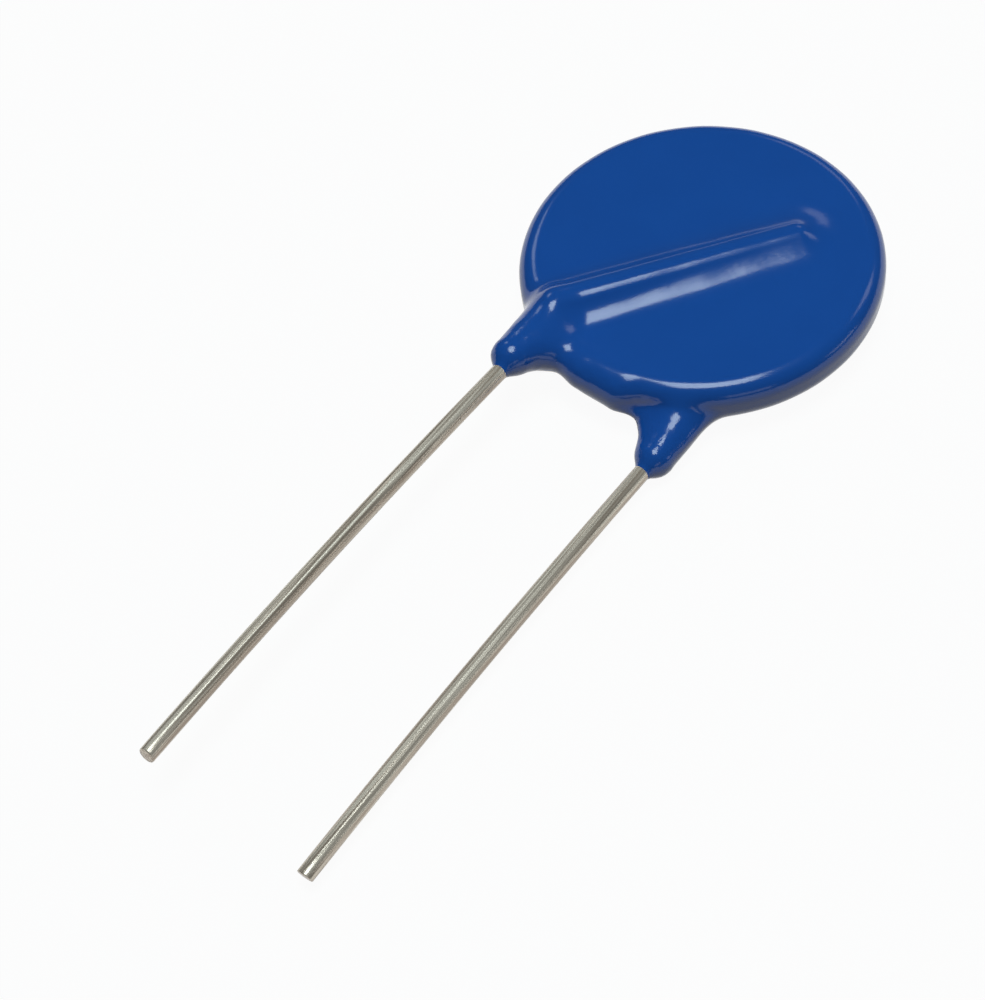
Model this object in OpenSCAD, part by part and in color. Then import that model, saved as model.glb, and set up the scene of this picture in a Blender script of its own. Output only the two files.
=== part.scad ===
// Radial-lead disc varistor of the 20 mm class, lying on its back.
// A sintered zinc oxide disc carries a fired silver layer on each face. A tinned wire runs across
// each layer and is soldered to it. The whole is dipped in epoxy, which cures to a glossy skin:
// flat over the faces, raised in a soft ridge over each wire, and run down onto the two leads.
// +Y points from the leads to the disc and +Z out of the front face. The origin is under the
// middle of the part, on the surface that its rear ridge touches.
// Half a turn about Y carries the front lead's side onto the rear lead's side.

/* [Ceramic] */
// Diameter of the zinc oxide disc
ceramic_d = 20; // [14:0.5:25]
// Thickness of the zinc oxide disc
ceramic_t = 1.4; // [1:0.1:4]
// Thickness of each fired silver layer
silver_t = 0.05; // [0.02:0.01:0.1]
// Bare ceramic left around each silver layer
silver_margin = 0.8; // [0.4:0.1:2]

/* [Leads] */
// Diameter of the tinned copper wire
wire_d = 1; // [0.6:0.05:1.2]
// Distance between the axes of the two leads
pitch = 10; // [7.5:0.5:12.5]
// Length of bare, straight wire below the skin
free_len = 30.4; // [10:0.1:40]
// Angle of each wire to its lead where it crosses the face
cross_angle = 37; // [25:1:42]
// Part of that angle which the wire has already turned inside the run-down
lean_angle = 3.2; // [2:0.1:5]
// Distance of the crossing's corner inside the ceramic's edge, along the lead
corner_inset = 0.7; // [0.3:0.1:1.5]
// Distance of the wire's end inside the ceramic's edge
end_inset = 4.3; // [2:0.1:5]
// Radius of each turn to the wire's centre line
bend_r = 2; // [1:0.25:3]
// Diameter that the wire loses where it is bent
bend_loss = 0.01; // [0.01:0.01:0.05]

/* [Solder] */
// Thickness of the solder film under the wire
solder_film = 0.05; // [0.02:0.01:0.1]
// Reach of the solder on the silver at either side of the wire
solder_wing = 0.65; // [0.5:0.05:0.8]
// Height that the solder may climb above the wire's middle
solder_climb = 0.2; // [0.1:0.05:0.3]
// Thickness of the solder at the bead's foot
solder_foot = 0.08; // [0.05:0.01:0.15]
// Length of solder past the wire's end
solder_past = 0.5; // [0.2:0.1:1]

/* [Epoxy skin] */
// Thickness of the skin over the silver of each face
face_skin = 0.7; // [0.5:0.05:1.5]
// Thickness of the skin around the ceramic's edge
edge_skin = 0.9; // [0.5:0.05:1.5]
// Thickness of the skin over the wire at the crossing's corner
corner_skin = 0.7; // [0.3:0.05:1]
// Thickness of the skin over the wire at its end
end_skin = 0.35; // [0.25:0.05:0.8]
// Radius of the rim's rounding
rim_round = 1.4; // [0.8:0.05:1.4]
// Reach of the blend at the foot of each ridge
ridge_blend = 1.2; // [0.6:0.1:2]
// Reach of the blend at the root of each run-down
root_blend = 3.3; // [1.5:0.1:4]
// Length of the run-downs below the disc
run_down = 2.7; // [1.5:0.1:4]
// Radius of each run-down at its root
root_r = 1.15; // [0.9:0.05:1.4]
// Radius of each run-down at its tip
tip_r = 1.15; // [0.8:0.05:1.3]
// Drop of each run-down's root from the wire towards the disc's middle plane
root_drop = 0.8; // [0:0.1:1]
// Sag of the skin below the disc, between the run-downs
sag = 0.35; // [0:0.05:0.6]

/* [Hidden] */
$fn = 96;

ceramic_r = ceramic_d / 2;
silver_r = ceramic_r - silver_margin;
wire_r = wire_d / 2;
silver_z = ceramic_t / 2 + silver_t;
wire_z = silver_z + solder_film + wire_r;

// The wire's route on the front: straight up at the left and into the skin's end, then leaning, round
// the corner and across the face. A turn takes up its own reach of the stretch on either side.
coat_r = ceramic_r + edge_skin;
skin_end_y = -coat_r - run_down;
lead_end_y = skin_end_y - free_len;
lead_x = -pitch / 2;
lead_entry = 0.2;
lean_reach = bend_r * tan(lean_angle / 2);
corner_reach = bend_r * tan((cross_angle - lean_angle) / 2);
corner_y = corner_inset - sqrt(pow(ceramic_r, 2) - pow(lead_x, 2));
lean_y = corner_y - skin_end_y - lead_entry - lean_reach;
corner = [lead_x + lean_y * tan(lean_angle), corner_y];
lean_len = lean_y / cos(lean_angle) - lean_reach - corner_reach;
heading = [sin(cross_angle), cos(cross_angle)];
to_foot = -corner * heading;
cross_len = to_foot + sqrt(pow(to_foot, 2) - corner * corner + pow(ceramic_r - end_inset, 2));
wire_end = corner + cross_len * heading;
turn_past = 1;
solder_start = corner_reach + wire_r;
solder_half = wire_r + solder_wing;
solder_h = solder_film + wire_r + solder_climb;
flank_r = solder_wing + 0.1;

// The skin's outer sizes, in the disc's own frame
coat_z = silver_z + face_skin;
rim_r = min(rim_round, coat_z - 0.05);
ridge_corner_r = wire_r + corner_skin;
ridge_end_r = wire_r + end_skin;
corner_at = [corner.x, corner_y, wire_z];
end_at = [wire_end.x, wire_end.y, wire_z];
tip_at = [lead_x, skin_end_y + tip_r, wire_z];
root_at = corner_at - [0, 0, root_drop];
sag_at = [-1.1, rim_r - coat_r - sag, 0.1];
seam_blend = 0.5;
sheath_r = wire_r + 0.2;
root_blend_from = corner_y + 0.8;
root_blend_over = 4.5;

function mix(a, b, t) = a + (b - a) * t;
function ramp(t) = let (c = min(max(t, 0), 1)) c * c * (3 - 2 * c);
function half_turn(p) = [-p.x, p.y, -p.z];

// The skin is where one smooth distance function is zero. It joins a round-edged disc, a tapered
// tube along each wire, a run-down on each lead and a sag between them, and soft_min blends them
// as the liquid epoxy does.
function soft_min(a, b, k) = let (h = max(k - abs(a - b), 0) / k) min(a, b) - h * h * k / 4;
function disc_gap(p) =
    let (a = norm([p.x, p.y]) - coat_r + rim_r, b = abs(p.z) - coat_z + rim_r)
    norm([max(a, 0), max(b, 0)]) + min(max(a, b), 0) - rim_r;
function tube_gap(p, a, b, ra, rb) =
    let (t = min(max((p - a) * (b - a) / ((b - a) * (b - a)), 0), 1))
    norm(p - mix(a, b, t)) - mix(ra, rb, t);
function run_gap(p) =
    soft_min(soft_min(tube_gap(p, corner_at, end_at, ridge_corner_r, ridge_end_r),
                      tube_gap(p, corner_at, tip_at, ridge_end_r, sheath_r), seam_blend),
             tube_gap(p, root_at, tip_at, root_r, tip_r), seam_blend);
function skin_gap(p) =
    let (k = mix(ridge_blend, root_blend, ramp((root_blend_from - p.y) / root_blend_over)),
         disc_and_runs = soft_min(soft_min(disc_gap(p), run_gap(p), k), run_gap(half_turn(p)), k))
    soft_min(disc_and_runs, tube_gap(p, sag_at, half_turn(sag_at), rim_r, rim_r), ridge_blend);

// Distance from a point inside the skin to its surface along a unit direction
function reach(p, d, lo, hi, n) =
    let (m = (lo + hi) / 2)
    n == 0 ? p + d * m :
    skin_gap(p + d * m) < 0 ? reach(p, d, m, hi, n - 1) : reach(p, d, lo, m, n - 1);
function skin_point(p, d) = reach(p, d, 0, 6, 20);

// The skin's mesh. Its rays start at posts on a circle inside the rim: [x, y, z, angle that the post
// faces in plan, how close it is to a lead from 0 to 1]. They run anticlockwise from the top. The
// posts over a lead share one place and fan out round its run-down.
rim_steps = 26;
outer_steps = 6;
fan_steps = 20;
inner_steps = 6;
face_rows = 17;
edge_rows = 8;
outer_spread = 52;
inner_spread = 36;
post_r = coat_r - rim_r;
lead_angle = 360 - acos(lead_x / post_r);
outer_angle = lead_angle - 33;

function post(at, facing, w) = [post_r * cos(at), post_r * sin(at), wire_z * w, facing, w];
function spread(f) = (f < 0 ? outer_spread : inner_spread) * (0.45 * f + 0.55 * f * f * f);
left_posts = [
    for (i = [0:rim_steps - 1])
        let (a = mix(90, outer_angle, i / rim_steps)) post(a, a, 0),
    for (i = [0:outer_steps - 1])
        let (f = i / outer_steps)
        post(mix(outer_angle, lead_angle, f), mix(outer_angle, 270 - outer_spread, f), ramp(f)),
    for (i = [0:fan_steps]) post(lead_angle, 270 + spread(2 * i / fan_steps - 1), 1),
    for (i = [1:inner_steps])
        let (f = i / inner_steps)
        post(mix(lead_angle, 270, f), mix(270 + inner_spread, 270, f), ramp(1 - f))
];
posts = [
    for (p = left_posts) p,
    for (i = [len(left_posts) - 2:-1:1])
        let (p = left_posts[i]) [-p.x, p.y, -p.z, 540 - p[3], p[4]]
];
// The front sheet starts at the crest of its ridge: the place over the front lead, then the corner,
// and evenly on to the wire's end. The posts on the two sides pair up along it: each counts its
// steps from the front lead's fan, leaves out the rear lead's fan, and stops at the wire's end.
crest_steps = 26;
crest_crowding = 1.4;
lead_post = rim_steps + outer_steps + fan_steps / 2;

function crest_step(i) =
    let (j = (i - lead_post + len(posts)) % len(posts),
         outer = max(len(posts) - j - fan_steps / 2, 0),
         inner = max(j - fan_steps / 2, 0),
         less_fan = min(inner, 2 * inner_steps) + max(inner - 2 * inner_steps - fan_steps, 0))
    min(j > len(posts) / 2 ? outer : less_fan, crest_steps);

// Over the face a ray stands upright on the line from the crest to its post, and the rays are
// closest at the crest; past the post it turns down to the horizontal
function face_point(i, f) =
    let (step = crest_step(i), post = posts[i], t = step == 0 ? 1 : pow(f, crest_crowding),
         crest = mix(corner, wire_end, (step - 1) / (crest_steps - 1)),
         m = mix(crest, [post.x, post.y], t))
    skin_point([m.x, m.y, post.z * t], [0, 0, 1]);
function edge_point(post, f) =
    let (tilt = mix(90 * f, 90 * (1 - pow(1 - f, 2)), post[4]))
    skin_point([post.x, post.y, post.z], [cos(post[3]) * sin(tilt), sin(post[3]) * sin(tilt), cos(tilt)]);

front_rows = [
    for (j = [0:face_rows]) [for (i = [0:len(posts) - 1]) face_point(i, j / face_rows)],
    for (j = [1:edge_rows]) [for (p = posts) edge_point(p, j / edge_rows)]
];

module skin_solid() {
    count = len(posts);
    rear_rows = [
        for (j = [len(front_rows) - 2:-1:0])
            [for (i = [0:count - 1]) half_turn(front_rows[j][(count - i) % count])]
    ];
    rows = concat(front_rows, rear_rows);
    polyhedron(
        points = [for (r = rows) for (p = r) p],
        faces = [
            for (j = [0:len(rows) - 2], i = [0:count - 1])
                let (a = j * count, b = a + count, k = (i + 1) % count)
                each [[a + i, b + k, b + i], [a + i, a + k, b + k]]
        ]);
}

// Height of the skin's highest place, which is how far the part lies off its origin
crest_z = max([for (r = front_rows, p = r) p.z]);

// Moves a piece from the disc's centre to the part's own origin
module placed() {
    translate([0, -(coat_r + lead_end_y) / 2, crest_z]) children();
}

module ceramic_body() {
    cylinder(h = ceramic_t, r = ceramic_r, center = true);
}

module silver_layer() {
    translate([0, 0, ceramic_t / 2]) cylinder(h = silver_t, r = silver_r);
}

// A straight stretch of wire along +Y, and a turn from +Y towards +X. What follows starts at its end
// and in its direction. A turn is a little thinner than the wire and ends inside its neighbours.
module wire_stretch(length) {
    rotate([-90, 0, 0]) cylinder(h = length, d = wire_d);
    translate([0, length, 0]) children();
}

module wire_turn(angle) {
    translate([bend_r, 0, 0]) {
        rotate([0, 0, 180 - angle - turn_past]) rotate_extrude(angle = angle + 2 * turn_past)
            translate([bend_r, 0]) circle(d = wire_d - bend_loss);
        rotate([0, 0, -angle]) translate([-bend_r, 0, 0]) children();
    }
}

// One wire from its cut end: up the front, into its lean, round the corner and across the face
module wire_body() {
    translate([lead_x, lead_end_y, wire_z])
        wire_stretch(free_len + lead_entry)
        wire_turn(lean_angle)
        wire_stretch(lean_len)
        wire_turn(cross_angle - lean_angle)
        wire_stretch(cross_len - corner_reach);
}

// A bead along the crossing wire, kept on the silver, with the wire's own place left free. Its flanks
// are hollow and run into the wire's sides.
module solder_body() {
    difference() {
        intersection() {
            translate([corner.x, corner.y, silver_z]) rotate([90, 0, -cross_angle]) mirror([0, 0, 1])
                translate([0, 0, solder_start]) linear_extrude(cross_len + solder_past - solder_start)
                difference() {
                    translate([-solder_half, 0]) square([2 * solder_half, solder_h]);
                    for (side = [-1, 1])
                        translate([side * solder_half, solder_foot + flank_r]) circle(flank_r);
                }
            translate([0, 0, silver_z]) cylinder(h = wire_d, r = silver_r - solder_foot);
        }
        wire_body();
    }
}

module rear() {
    rotate([0, 180, 0]) children();
}

module coating() {
    color([0.09, 0.27, 0.56]) placed() difference() {
        skin_solid();
        ceramic_body();
        silver_layer();
        rear() silver_layer();
        solder_body();
        rear() solder_body();
        wire_body();
        rear() wire_body();
    }
}

module ceramic_disc() {
    color([0.25, 0.25, 0.27]) placed() ceramic_body();
}

module front_electrode() {
    color([0.85, 0.85, 0.83]) placed() silver_layer();
}

module rear_electrode() {
    color([0.85, 0.85, 0.83]) placed() rear() silver_layer();
}

module front_solder() {
    color([0.7, 0.7, 0.7]) placed() solder_body();
}

module rear_solder() {
    color([0.7, 0.7, 0.7]) placed() rear() solder_body();
}

module front_lead() {
    color([0.62, 0.61, 0.57]) placed() wire_body();
}

module rear_lead() {
    color([0.62, 0.61, 0.57]) placed() rear() wire_body();
}

coating();
ceramic_disc();
front_electrode();
rear_electrode();
front_solder();
rear_solder();
front_lead();
rear_lead();
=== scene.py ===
import bmesh
import bpy
import numpy as np
from mathutils import Matrix, Vector


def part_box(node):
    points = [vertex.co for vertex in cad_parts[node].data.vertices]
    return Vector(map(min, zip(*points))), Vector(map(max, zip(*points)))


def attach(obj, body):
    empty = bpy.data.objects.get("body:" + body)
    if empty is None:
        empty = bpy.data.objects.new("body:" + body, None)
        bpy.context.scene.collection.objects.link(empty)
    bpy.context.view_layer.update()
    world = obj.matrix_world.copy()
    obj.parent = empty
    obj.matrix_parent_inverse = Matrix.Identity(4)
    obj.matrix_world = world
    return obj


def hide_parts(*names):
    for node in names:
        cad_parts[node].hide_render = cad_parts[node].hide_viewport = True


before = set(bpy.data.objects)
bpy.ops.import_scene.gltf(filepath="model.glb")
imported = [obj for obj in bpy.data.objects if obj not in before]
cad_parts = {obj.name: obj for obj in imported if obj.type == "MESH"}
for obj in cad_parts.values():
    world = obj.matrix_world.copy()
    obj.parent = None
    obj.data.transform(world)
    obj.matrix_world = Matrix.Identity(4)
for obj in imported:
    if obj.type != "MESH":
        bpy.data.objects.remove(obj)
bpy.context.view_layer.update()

# ---------------------------------------------------------------- sizes from the frame, in mm
MM = 0.001
disc_low, disc_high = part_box("ceramic_disc")
disc_centre = np.array((disc_low + disc_high) / 2) / MM
ceramic_r = (disc_high.x - disc_low.x) / 2 / MM
ceramic_half = (disc_high.z - disc_low.z) / 2 / MM
skin_low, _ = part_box("coating")
lead_low, lead_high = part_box("front_lead")
wire_r = (lead_high.z - lead_low.z) / 2 / MM
lead_x = lead_low.x / MM + wire_r
wire_z = (lead_low.z + lead_high.z) / 2 / MM - disc_centre[2]
lead_end_y = lead_low.y / MM - disc_centre[1]
skin_end_y = skin_low.y / MM - disc_centre[1]

# The coated disc, and the ridge over each wire, which is higher and steeper at the wire's corner
COAT_R = ceramic_r + 0.9
COAT_HALF = ceramic_half + 0.75
RIM_R = 1.2
CORNER_HEIGHT, END_HEIGHT = 1.1, 0.77
CREST_R = 1.25
CORNER_FOOT_R, END_FOOT_R = 2.6, 4.8

# The run-downs on the leads, each a little to one side of its wire and with a thin collar below
RUN_R = 1.15
RUN_ASIDE = 0.14
ROOT_DROP = 0.8
NECK_R = wire_r + 0.42
SHEATH_R = wire_r + 0.2
COLLAR_LENGTH, COLLAR_TOP_R, COLLAR_TIP_R = 2.2, wire_r - 0.04, wire_r - 0.1

# The sag of epoxy between the run-downs
SAG_R = 0.9
SAG_REACH, SAG_DROOP, SAG_RISE = 1.1, 0.35, 0.1

# How softly the forms flow together. At a run-down's root the blend widens from ROOT_START above
# the wire's corner downward, and above the shelf, under which the epoxy drew in tight
COLLAR_BLEND = 0.5
SEAM_BLEND = 0.9
SAG_BLEND = 1.2
ROOT_BLEND = 3.5
ROOT_START, ROOT_FADE = 0.8, 4.5
FRONT_SHELF, REAR_SHELF, SHELF_FADE = -COAT_HALF, -0.55, 1.4

# Unevenness of the dried skin, and the edge length of its mesh
WAVE_HEIGHT = 0.006
LUMP_HEIGHT = 0.009
LUMPS_START_Y, LUMPS_FADE = -9.0, 2.0
MESH_EDGE = 0.115

# The wires' bends, and the places of their corner and end inside the ceramic's edge
BEND_R = 2.0
LEAN = np.radians(3.2)
CROSSING = np.radians(37)
LEAD_ENTRY = 0.2
CORNER_INSET = 0.7
END_INSET = 4.3

# How each bare wire strays sideways: at its cut end, at its run-down and, as a bow, half-way. Then
# how far its cut end lies past the plan's
FRONT_STRAY, FRONT_PAST = (-0.06, 0.33, -0.25), 0.24
REAR_STRAY, REAR_PAST = (-0.15, -0.12, 0.2), 0.15
STRAY_FADE = 3.0
NIP_LENGTH, NIP_DEPTH, NIP_SLANT = 0.8, 0.08, 0.16
CUT_BEVEL = 0.06

# Half a turn about the lead direction takes the front wire, ridge and run-down to the rear ones
HALF_TURN = np.array([-1.0, 1.0, -1.0])
NO_TURN = np.ones(3)

# The front wire's path: leaning inward from its run-down to a corner, then straight across the face
heading = np.array([np.sin(CROSSING), np.cos(CROSSING), 0])
run_tip = np.array([lead_x, skin_end_y + np.sqrt(RUN_R ** 2 - wire_r ** 2), wire_z])
lean_start_y = run_tip[1] - RUN_R + LEAD_ENTRY
corner_y = CORNER_INSET - np.sqrt(ceramic_r ** 2 - lead_x ** 2)
lean_y = corner_y - lean_start_y - BEND_R * np.tan(LEAN / 2)
corner = np.array([lead_x + lean_y * np.tan(LEAN), corner_y, wire_z])
to_foot = -corner @ heading
to_end = to_foot ** 2 - corner[:2] @ corner[:2] + (ceramic_r - END_INSET) ** 2
cross_len = to_foot + np.sqrt(to_end)
ridge_end = corner + cross_len * heading
run_root = corner - [0, 0, ROOT_DROP]
sag_end = np.array([-SAG_REACH, SAG_R - COAT_R - SAG_DROOP, SAG_RISE])


# ---------------------------------------------------------------- the skin as a distance
def soft_min(a, b, blend):
    """The smaller of two distances, with a soft join where they differ by less than the blend."""
    h = np.maximum(blend - np.abs(a - b), 0) / blend
    return np.minimum(a, b) - h * h * blend / 4


def ramp(t):
    """Rises from 0 to 1 with no kink at either end."""
    t = np.clip(t, 0, 1)
    return t * t * (3 - 2 * t)


def ridge_height(p):
    """Height of the front ridge over the face: round at its crest and hollow at its foot, which
    spreads out towards the wire's end."""
    at = (p - corner)[:, :2]
    along = np.clip(at @ heading[:2], 0, cross_len)
    aside = np.linalg.norm(at - along[:, None] * heading[:2], axis=1)
    height = CORNER_HEIGHT + (END_HEIGHT - CORNER_HEIGHT) * along / cross_len
    foot_r = CORNER_FOOT_R + (END_FOOT_R - CORNER_FOOT_R) * along / cross_len
    reach = np.sqrt(height * (2 * (CREST_R + foot_r) - height))
    crest_reach = reach * CREST_R / (CREST_R + foot_r)
    crest = height - CREST_R + np.sqrt(CREST_R ** 2 - np.minimum(aside, crest_reach) ** 2)
    foot = foot_r - np.sqrt(foot_r ** 2 - np.clip(reach - aside, 0, reach - crest_reach) ** 2)
    return np.where(aside < crest_reach, crest, foot)


def disc_gap(p):
    """Distance to the coated disc: a slab with a round rim and a ridge on each face."""
    ridge = np.where(p[:, 2] > 0, ridge_height(p), ridge_height(p * HALF_TURN))
    out = np.hypot(p[:, 0], p[:, 1]) - COAT_R + RIM_R
    up = np.abs(p[:, 2]) - COAT_HALF - ridge + RIM_R
    corner_gap = np.hypot(np.maximum(out, 0), np.maximum(up, 0))
    return corner_gap + np.minimum(np.maximum(out, up), 0) - RIM_R


def tube_gap(p, start, end, start_r, end_r):
    """Distance to a straight round tube that may taper."""
    axis = end - start
    t = np.clip((p - start) @ axis / (axis @ axis), 0, 1)
    return np.linalg.norm(p - start - t[:, None] * axis, axis=1) - (start_r + (end_r - start_r) * t)


def run_gap(p, aside, stray):
    """The run-down on the front lead, and the thin collar with which it clings to the wire."""
    tip = run_tip + [aside, 0, 0]
    wire = run_tip + [stray, 0, 0]
    down_lead = tube_gap(p, corner, tip, NECK_R, SHEATH_R)
    drop = tube_gap(p, run_root + [aside, 0, 0], tip, RUN_R, RUN_R)
    collar = tube_gap(p, wire, wire - [0, COLLAR_LENGTH, 0], COLLAR_TOP_R, COLLAR_TIP_R)
    return soft_min(soft_min(down_lead, drop, COLLAR_BLEND), collar, COLLAR_BLEND)


def with_run(gap, p, aside, stray, shelf):
    """Blends one run-down into the skin, most softly below its root and above its shelf."""
    root = ramp((corner_y + ROOT_START - p[:, 1]) / ROOT_FADE)
    root *= ramp((p[:, 2] - shelf) / SHELF_FADE)
    blend = SEAM_BLEND + (ROOT_BLEND - SEAM_BLEND) * root
    return soft_min(gap, run_gap(p, aside, stray), blend)


def skin_gap(p):
    """Distance to the cured epoxy's surface, below zero inside it."""
    gap = with_run(disc_gap(p), p, RUN_ASIDE, FRONT_STRAY[1], FRONT_SHELF)
    gap = with_run(gap, p * HALF_TURN, -RUN_ASIDE, REAR_STRAY[1], REAR_SHELF)
    gap = soft_min(gap, tube_gap(p, sag_end, sag_end * HALF_TURN, SAG_R, SAG_R), SAG_BLEND)
    return gap + unevenness(p)


def unevenness(p):
    """The slow waves that a dipped skin dries with, and the small lumps on its run-downs."""
    x, y, z = p.T
    waves = WAVE_HEIGHT * np.sin(1.9 * x + 0.7 * y + 0.4) * np.sin(1.3 * y - 0.8 * x + 1.7)
    lumps = np.sin(5.3 * x + 1.1) * np.sin(4.7 * y + 0.5) * np.sin(6.1 * z + 0.9)
    return waves + LUMP_HEIGHT * lumps * ramp((LUMPS_START_Y - y) / LUMPS_FADE)


def to_skin(p, steps):
    """Moves points straight onto the skin."""
    probe, least_slope = 0.004, 0.2
    for _ in range(steps):
        gap = skin_gap(p)
        rises = [skin_gap(p + probe * d) - skin_gap(p - probe * d) for d in np.eye(3)]
        slope = np.stack(rises, 1) / (2 * probe)
        p = p - (gap / np.maximum((slope ** 2).sum(1), least_slope))[:, None] * slope
    return p


# ---------------------------------------------------------------- making pieces
def read_points(bm):
    return np.array([v.co[:] for v in bm.verts])


def write_points(bm, points):
    for v, co in zip(bm.verts, points):
        v.co = co


def add_rod(bm, start, end, radius):
    """A closed rod between two points."""
    start, end = Vector(start), Vector(end)
    rod = bmesh.ops.create_cone(bm, cap_ends=True, segments=32, radius1=radius, radius2=radius,
                                depth=(end - start).length)
    turn = (end - start).to_track_quat("Z", "Y").to_matrix().to_4x4()
    bmesh.ops.transform(bm, matrix=Matrix.Translation((start + end) / 2) @ turn, verts=rod["verts"])


def finish_piece(name, bm, slot, *nodes):
    """Takes a mesh in mm about the disc's middle to its place in the frame."""
    place = Matrix.Scale(MM, 4) @ Matrix.Translation(disc_centre)
    bmesh.ops.transform(bm, matrix=place, verts=bm.verts)
    bmesh.ops.recalc_face_normals(bm, faces=bm.faces)
    mesh = bpy.data.meshes.new(name)
    bm.to_mesh(mesh)
    bm.free()
    for face in mesh.polygons:
        face.use_smooth = True
    piece = bpy.data.objects.new(name, mesh)
    bpy.context.scene.collection.objects.link(piece)
    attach(piece, "root")
    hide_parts(*nodes)
    return piece


def voxel_union(bm, voxel):
    """One closed skin of even quads around overlapping closed shapes, its rows along the front
    ridge so that the crest comes out smooth."""
    turn = Matrix.Rotation(CROSSING, 4, "Z")
    bmesh.ops.transform(bm, matrix=turn, verts=bm.verts)
    rough = bpy.data.meshes.new("rough")
    bm.to_mesh(rough)
    bm.free()
    holder = bpy.data.objects.new("rough", rough)
    bpy.context.scene.collection.objects.link(holder)
    remesh = holder.modifiers.new("union", "REMESH")
    remesh.mode = "VOXEL"
    remesh.voxel_size = voxel
    graph = bpy.context.evaluated_depsgraph_get()
    even = bpy.data.meshes.new_from_object(holder.evaluated_get(graph))
    joined = bmesh.new()
    joined.from_mesh(even)
    bmesh.ops.transform(joined, matrix=turn.inverted(), verts=joined.verts)
    bpy.data.objects.remove(holder)
    bpy.data.meshes.remove(rough)
    bpy.data.meshes.remove(even)
    return joined


def settle(bm, steps):
    write_points(bm, to_skin(read_points(bm), steps))


def make_skin():
    """Rough blocks joined into one shape, whose surface is then moved onto the skin's."""
    block = bmesh.new()
    bmesh.ops.create_cone(block, cap_ends=True, segments=96, radius1=COAT_R, radius2=COAT_R,
                          depth=2 * COAT_HALF)
    block_root = corner + [0, 1, -0.4]
    for side in (NO_TURN, HALF_TURN):
        add_rod(block, side * corner, side * ridge_end, NECK_R)
        add_rod(block, side * block_root, side * run_tip, RUN_R)
        add_rod(block, side * run_tip, side * (run_tip - [0, COLLAR_LENGTH, 0]), wire_r)
    skin = voxel_union(block, MESH_EDGE)
    settle(skin, 4)
    for _ in range(4):
        bmesh.ops.smooth_vert(skin, verts=skin.verts, factor=0.5, use_axis_x=True, use_axis_y=True,
                              use_axis_z=True)
        settle(skin, 2)
    settle(skin, 3)
    return finish_piece("epoxy_skin", skin, "epoxy_skin", "coating")


def is_new_edge(g):
    """True for an edge of the open ring at the end of what was just drawn out."""
    return isinstance(g, bmesh.types.BMEdge) and len(g.link_faces) == 1


def draw_on(bm, ring, direction, length, rings):
    """Draws the wire's open end straight on."""
    for _ in range(rings):
        out = bmesh.ops.extrude_edge_only(bm, edges=ring)["geom"]
        bmesh.ops.translate(bm, vec=Vector(direction) * length / rings,
                            verts=[g for g in out if isinstance(g, bmesh.types.BMVert)])
        ring = [g for g in out if is_new_edge(g)]
    return ring


def bend_on(bm, ring, at, direction, angle, rings):
    """Bends the wire's open end to the right of its direction."""
    right = Vector((direction[1], -direction[0], 0))
    out = bmesh.ops.spin(bm, geom=ring, cent=Vector(at) + right * BEND_R, axis=(0, 0, 1),
                         angle=-angle, steps=rings, use_duplicate=False)["geom_last"]
    return [g for g in out if isinstance(g, bmesh.types.BMEdge)]


def handled(p, stray, past):
    """A wire's points after handling: its bare length strays and bows a little, and its cut end is
    nipped, slanted and a little past the plan's."""
    x, y, z = p.T
    along = np.clip((y - lead_end_y) / (run_tip[1] - lead_end_y), 0, 1)
    at_cut, at_run, bow = stray
    sideways = at_cut + (at_run - at_cut) * along + bow * 4 * along * (1 - along)
    nip = ramp(1 - (y - lead_end_y) / NIP_LENGTH)
    return np.stack([x + sideways * (1 - ramp((y - run_tip[1]) / STRAY_FADE)),
                     y - past * (1 - along) + NIP_SLANT * (z - wire_z) * nip,
                     wire_z + (z - wire_z) * (1 - NIP_DEPTH * nip)], 1)


def make_lead(name, side, node, stray, past):
    """A wire drawn out from its sheared end, bent into its lean, round its corner and across the
    face."""
    bm = bmesh.new()
    bmesh.ops.create_circle(bm, cap_ends=True, segments=40, radius=wire_r)
    stand = Matrix.Translation((lead_x, lead_end_y, wire_z)) @ Matrix.Rotation(np.pi / 2, 4, "X")
    bmesh.ops.transform(bm, matrix=stand, verts=bm.verts)
    lean_reach, corner_reach = BEND_R * np.tan(LEAN / 2), BEND_R * np.tan((CROSSING - LEAN) / 2)
    leaning = np.array([np.sin(LEAN), np.cos(LEAN), 0])
    lean_length = lean_y / np.cos(LEAN) - lean_reach - corner_reach
    ring = draw_on(bm, bm.edges[:], (0, 1, 0), lean_start_y - lead_end_y, rings=90)
    ring = bend_on(bm, ring, (lead_x, lean_start_y, wire_z), (0, 1), LEAN, rings=2)
    ring = draw_on(bm, ring, leaning, lean_length, rings=4)
    ring = bend_on(bm, ring, corner - corner_reach * leaning, leaning, CROSSING - LEAN, rings=10)
    ring = draw_on(bm, ring, heading, cross_len - corner_reach, rings=4)
    bmesh.ops.contextual_create(bm, geom=ring)
    ends = [f for f in bm.faces if len(f.verts) > 4]
    bmesh.ops.bevel(bm, geom=[e for f in ends for e in f.edges], offset=CUT_BEVEL, segments=2,
                    profile=0.5, affect="EDGES", material=-1)
    write_points(bm, handled(read_points(bm), stray, past) * side)
    return finish_piece(name, bm, "tinned_wire", node)


skin = make_skin()
front_lead = make_lead("front_wire", NO_TURN, "front_lead", FRONT_STRAY, FRONT_PAST)
rear_lead = make_lead("rear_wire", HALF_TURN, "rear_lead", REAR_STRAY, REAR_PAST)


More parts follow.
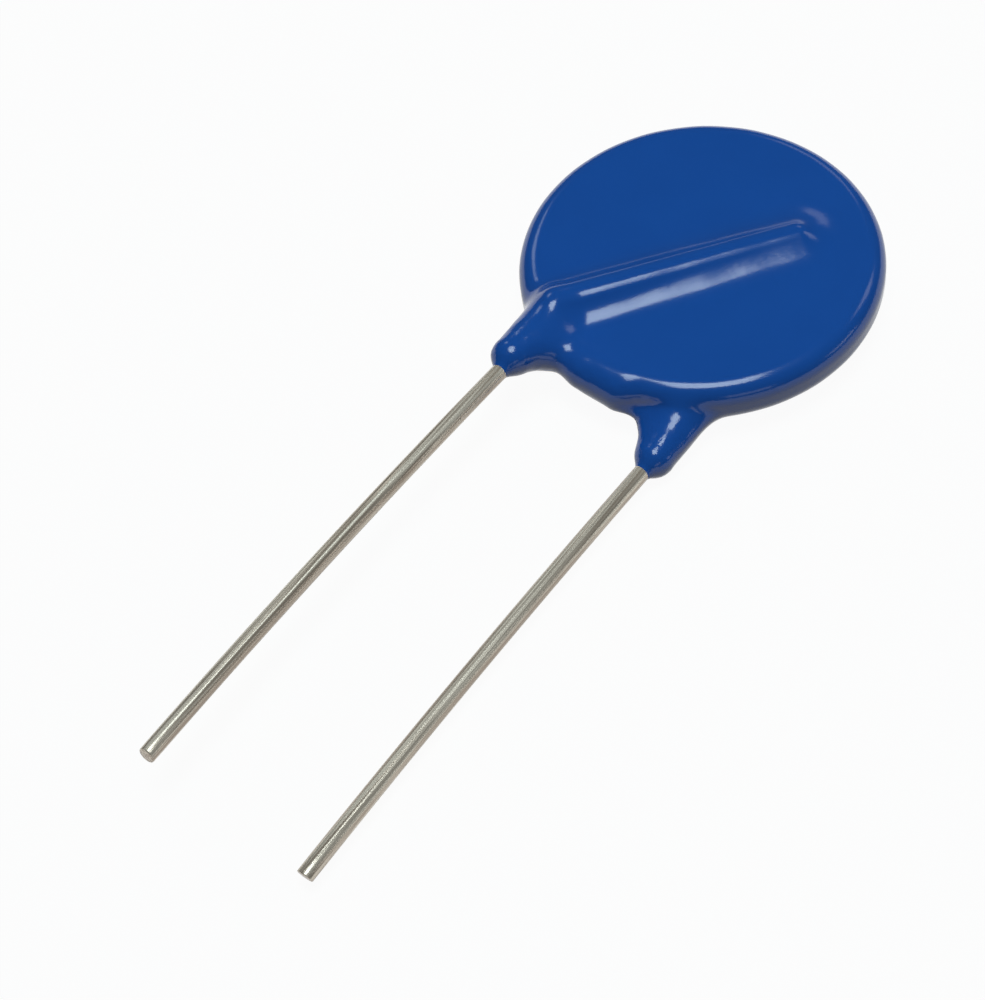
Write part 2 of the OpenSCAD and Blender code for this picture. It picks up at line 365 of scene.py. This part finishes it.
# ---------------------------------------------------------------- materials
class Maths:
    """A shader socket that takes part in plain Python sums."""

    def __init__(self, tree, socket):
        self.tree, self.socket = tree, socket

    def sum(self, operation, a, b):
        return self.tree.node("ShaderNodeMath", {"operation": operation}, {0: a, 1: b})

    def __add__(self, other):
        return self.sum("ADD", self, other)

    def __radd__(self, other):
        return self.sum("ADD", other, self)

    def __mul__(self, other):
        return self.sum("MULTIPLY", self, other)

    def __rmul__(self, other):
        return self.sum("MULTIPLY", other, self)


class Finish:
    """One material, or the world, and the nodes it is made of."""

    def __init__(self, owner):
        self.owner = owner
        owner.use_nodes = True
        self.nodes = owner.node_tree.nodes
        self.links = owner.node_tree.links
        self.nodes.clear()

    def node(self, kind, settings=(), inputs=(), out=0):
        """Any node: its type, its settings and its sockets' values or links."""
        made = self.nodes.new(kind)
        for key, value in dict(settings).items():
            setattr(made, key, value)
        for key, value in dict(inputs).items():
            if isinstance(value, Maths):
                self.links.new(value.socket, made.inputs[key])
            else:
                made.inputs[key].default_value = value
        return Maths(self, made.outputs[out]) if made.outputs else None

    def noise(self, vector, scale=1.0, detail=2.0, roughness=0.5):
        return self.node("ShaderNodeTexNoise", {}, {
            "Vector": vector, "Scale": scale, "Detail": detail, "Roughness": roughness})

    def place(self, scale=(1, 1, 1)):
        """Object coordinates in mm, stretched."""
        at = self.node("ShaderNodeTexCoord", out="Object")
        return self.node("ShaderNodeMapping", {}, {
            "Vector": at, "Scale": tuple(s / MM for s in scale)})

    def blend(self, factor, a, b):
        return self.node("ShaderNodeMix", {"data_type": "RGBA"}, {0: factor, 6: a, 7: b}, out=2)

    def steepen(self, value, low, high):
        """Stretches a value between two levels to the whole of 0 to 1."""
        return self.node("ShaderNodeMapRange", {}, {
            "Value": value, "From Min": low, "From Max": high})

    def bump(self, height, distance):
        return self.node("ShaderNodeBump", {}, {"Height": height, "Distance": distance})

    def surface(self, shader):
        self.node("ShaderNodeOutputMaterial", {}, {"Surface": shader})
        return self.owner


def colour(r, g, b):
    """An sRGB colour, 0 to 255, as the shader's linear one."""
    shares = (c / 255 for c in (r, g, b))
    return (*(((c + 0.055) / 1.055) ** 2.4 if c > 0.04045 else c / 12.92 for c in shares), 1.0)


def epoxy_finish():
    """Glossy blue epoxy with a fine peel, uneven where it dripped off the disc."""
    f = Finish(bpy.data.materials.new("blue_epoxy"))
    at = f.place()
    cloud = f.noise(at, scale=0.22, detail=3.0)
    tone = f.blend(cloud, colour(23, 88, 178), colour(27, 94, 187))
    peel = f.noise(at, scale=2.2)
    fine = f.noise(at, scale=9.0)
    drips = f.noise(at, scale=1.5, detail=3.0, roughness=0.6)
    from_disc = f.node("ShaderNodeVectorMath", {"operation": "DISTANCE"},
                       {0: at, 1: tuple(disc_centre)}, out=1)
    drained = f.steepen(from_disc, COAT_R - 0.5, COAT_R + 2.0)
    shader = f.node("ShaderNodeBsdfPrincipled", {}, {
        "Base Color": tone, "Roughness": 0.13 + 0.05 * fine, "IOR": 1.52,
        "Normal": f.bump(peel * 0.7 + fine * 0.3 + 6.0 * drips * drained, 0.006 * MM)})
    return f.surface(shader)


def wire_finish():
    """Dull tin with fine draw marks along the wire."""
    f = Finish(bpy.data.materials.new("tinned_copper"))
    drawn = f.noise(f.place((5.0, 0.03, 5.0)), detail=1.0)
    fine = f.noise(f.place((14.0, 0.1, 14.0)), detail=1.0)
    patch = f.noise(f.place((0.5, 0.2, 0.5)))
    tone = f.blend(f.steepen(0.6 * drawn + 0.4 * fine, 0.38, 0.62), colour(188, 170, 152),
                   colour(255, 243, 224))
    shader = f.node("ShaderNodeBsdfPrincipled", {}, {
        "Base Color": tone, "Metallic": 0.42,
        "Roughness": f.steepen(0.7 * drawn + 0.3 * patch, 0.35, 0.65) * 0.2 + 0.2,
        "Normal": f.bump(0.7 * drawn + 0.3 * fine, 0.035 * MM)})
    return f.surface(shader)


def plain_finish(name, dark, light, metallic, roughness, grain):
    """A finish for the sealed inner pieces."""
    f = Finish(bpy.data.materials.new(name))
    spots = f.noise(f.place(), scale=grain, detail=3.0)
    shader = f.node("ShaderNodeBsdfPrincipled", {}, {
        "Base Color": f.blend(spots, dark, light), "Metallic": metallic,
        "Roughness": roughness + 0.1 * spots, "Normal": f.bump(spots, 0.01 * MM)})
    return f.surface(shader)


def paint(piece, material):
    piece.data.materials.clear()
    piece.data.materials.append(material)


paint(skin, epoxy_finish())
tin = wire_finish()
paint(front_lead, tin)
paint(rear_lead, tin)
ceramic = plain_finish("zinc_oxide", colour(58, 58, 62), colour(84, 84, 88), 0.0, 0.6, 6.0)
silver = plain_finish("fired_silver", colour(196, 196, 190), colour(222, 222, 218), 1.0, 0.45, 4.0)
solder = plain_finish("solder", colour(168, 168, 168), colour(206, 206, 206), 1.0, 0.3, 1.5)
for cad_node, material in (("ceramic_disc", ceramic), ("front_electrode", silver),
                           ("rear_electrode", silver), ("front_solder", solder),
                           ("rear_solder", solder)):
    paint(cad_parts[cad_node], material)

# ---------------------------------------------------------------- floor, light and camera
# The lamps stand this far from the disc, in metres. The camera looks at a point in mm about the
# disc's middle, from this far off in mm and at these angles in degrees
LAMP_DISTANCE = 0.6
SENSOR, LENS = 36.0, 83.40012
VIEW_AZIMUTH, VIEW_ELEVATION, VIEW_ROLL = 44.639, 54.116, -9.567
VIEW_MIDDLE = np.array([-0.275, -20.532, 0.0])
VIEW_DISTANCE = 130.0

scene = bpy.context.scene
scene.view_settings.view_transform = "Standard"


def ray(f, kind):
    return f.node("ShaderNodeLightPath", out=kind)


def white_rays(f):
    """1 for the rays that find a white floor: the camera's, reflected ones and passing ones."""
    return ray(f, "Is Camera Ray") + ray(f, "Is Glossy Ray") + ray(f, "Is Transmission Ray")


def make_floor():
    """A wide floor that shows white, keeps a little of the shadow and throws little light back."""
    bm = bmesh.new()
    bmesh.ops.create_grid(bm, x_segments=1, y_segments=1, size=1.5)
    mesh = bpy.data.meshes.new("floor")
    bm.to_mesh(mesh)
    bm.free()
    floor = bpy.data.objects.new("floor", mesh)
    scene.collection.objects.link(floor)
    f = Finish(bpy.data.materials.new("white_floor"))
    pale = f.blend(white_rays(f), (0.09, 0.09, 0.09, 1), (0.92, 0.92, 0.92, 1))
    diffuse = f.node("ShaderNodeBsdfDiffuse", {}, {"Color": pale})
    glow = f.node("ShaderNodeEmission", {}, {"Color": (1, 1, 1, 1), "Strength": 1.0})
    mixed = f.node("ShaderNodeMixShader", {}, {0: 0.95 * white_rays(f), 1: diffuse, 2: glow})
    paint(floor, f.surface(mixed))


def make_world():
    """Dim around the object, and white to the camera beyond the floor's edge."""
    scene.world = bpy.data.worlds.new("studio")
    f = Finish(scene.world)
    low = f.node("ShaderNodeBackground", {}, {"Color": (0.06, 0.06, 0.06, 1)})
    white = f.node("ShaderNodeBackground", {}, {"Color": (1, 1, 1, 1)})
    mixed = f.node("ShaderNodeMixShader", {}, {0: ray(f, "Is Camera Ray"), 1: low, 2: white})
    f.node("ShaderNodeOutputWorld", {}, {"Surface": mixed})


def softbox(name, azimuth, elevation, width, height, radiance, tint=(1, 1, 1)):
    """A flat lamp that faces the disc. Azimuth 0 is +Y and 90 is +X."""
    a, e = np.radians(azimuth), np.radians(elevation)
    aim = Vector((np.sin(a) * np.cos(e), np.cos(a) * np.cos(e), np.sin(e)))
    lamp = bpy.data.lights.new(name, "AREA")
    lamp.shape = "RECTANGLE"
    lamp.size, lamp.size_y = width, height
    lamp.energy = float(radiance * np.pi * width * height)
    lamp.color = tint
    holder = bpy.data.objects.new(name, lamp)
    holder.location = Vector(disc_centre * MM) + aim * LAMP_DISTANCE
    holder.rotation_mode = "QUATERNION"
    holder.rotation_quaternion = aim.to_track_quat("Z", "Y")
    scene.collection.objects.link(holder)


def make_camera():
    """Looks down past the disc's near side, with a small roll."""
    camera = bpy.data.cameras.new("camera")
    camera.sensor_width, camera.lens = SENSOR, LENS
    camera.clip_start, camera.clip_end = 0.005, 10.0
    azimuth, elevation, roll = np.radians((VIEW_AZIMUTH, VIEW_ELEVATION, VIEW_ROLL))
    back = np.array([np.sin(azimuth) * np.cos(elevation), -np.cos(azimuth) * np.cos(elevation),
                     np.sin(elevation)])
    across = np.cross([0, 0, 1], back)
    across /= np.linalg.norm(across)
    upward = np.cross(back, across)
    turned = np.cos(roll) * across + np.sin(roll) * upward
    risen = np.cos(roll) * upward - np.sin(roll) * across
    stand = Matrix(np.stack([turned, risen, back], 1).tolist()).to_4x4()
    place = (disc_centre + VIEW_MIDDLE + back * VIEW_DISTANCE) * MM
    view = bpy.data.objects.new("camera", camera)
    view.matrix_world = Matrix.Translation(place.tolist()) @ stand
    scene.collection.objects.link(view)
    scene.camera = view


make_floor()
make_world()
softbox("overhead", 135, 87, 0.27, 0.27, 8.2, (0.82, 0.95, 1.0))
softbox("left_fill", 296, 39, 0.13, 0.13, 2.4, (0.85, 0.97, 1.0))
softbox("back_fill", -20, 30, 0.14, 0.12, 1.0)
softbox("right_fill", 24, 38, 0.12, 0.16, 1.6)
softbox("low_right", 65, 14, 0.2, 0.08, 1.6)
softbox("near_fill", 122, 15, 0.24, 0.1, 0.9)
make_camera()
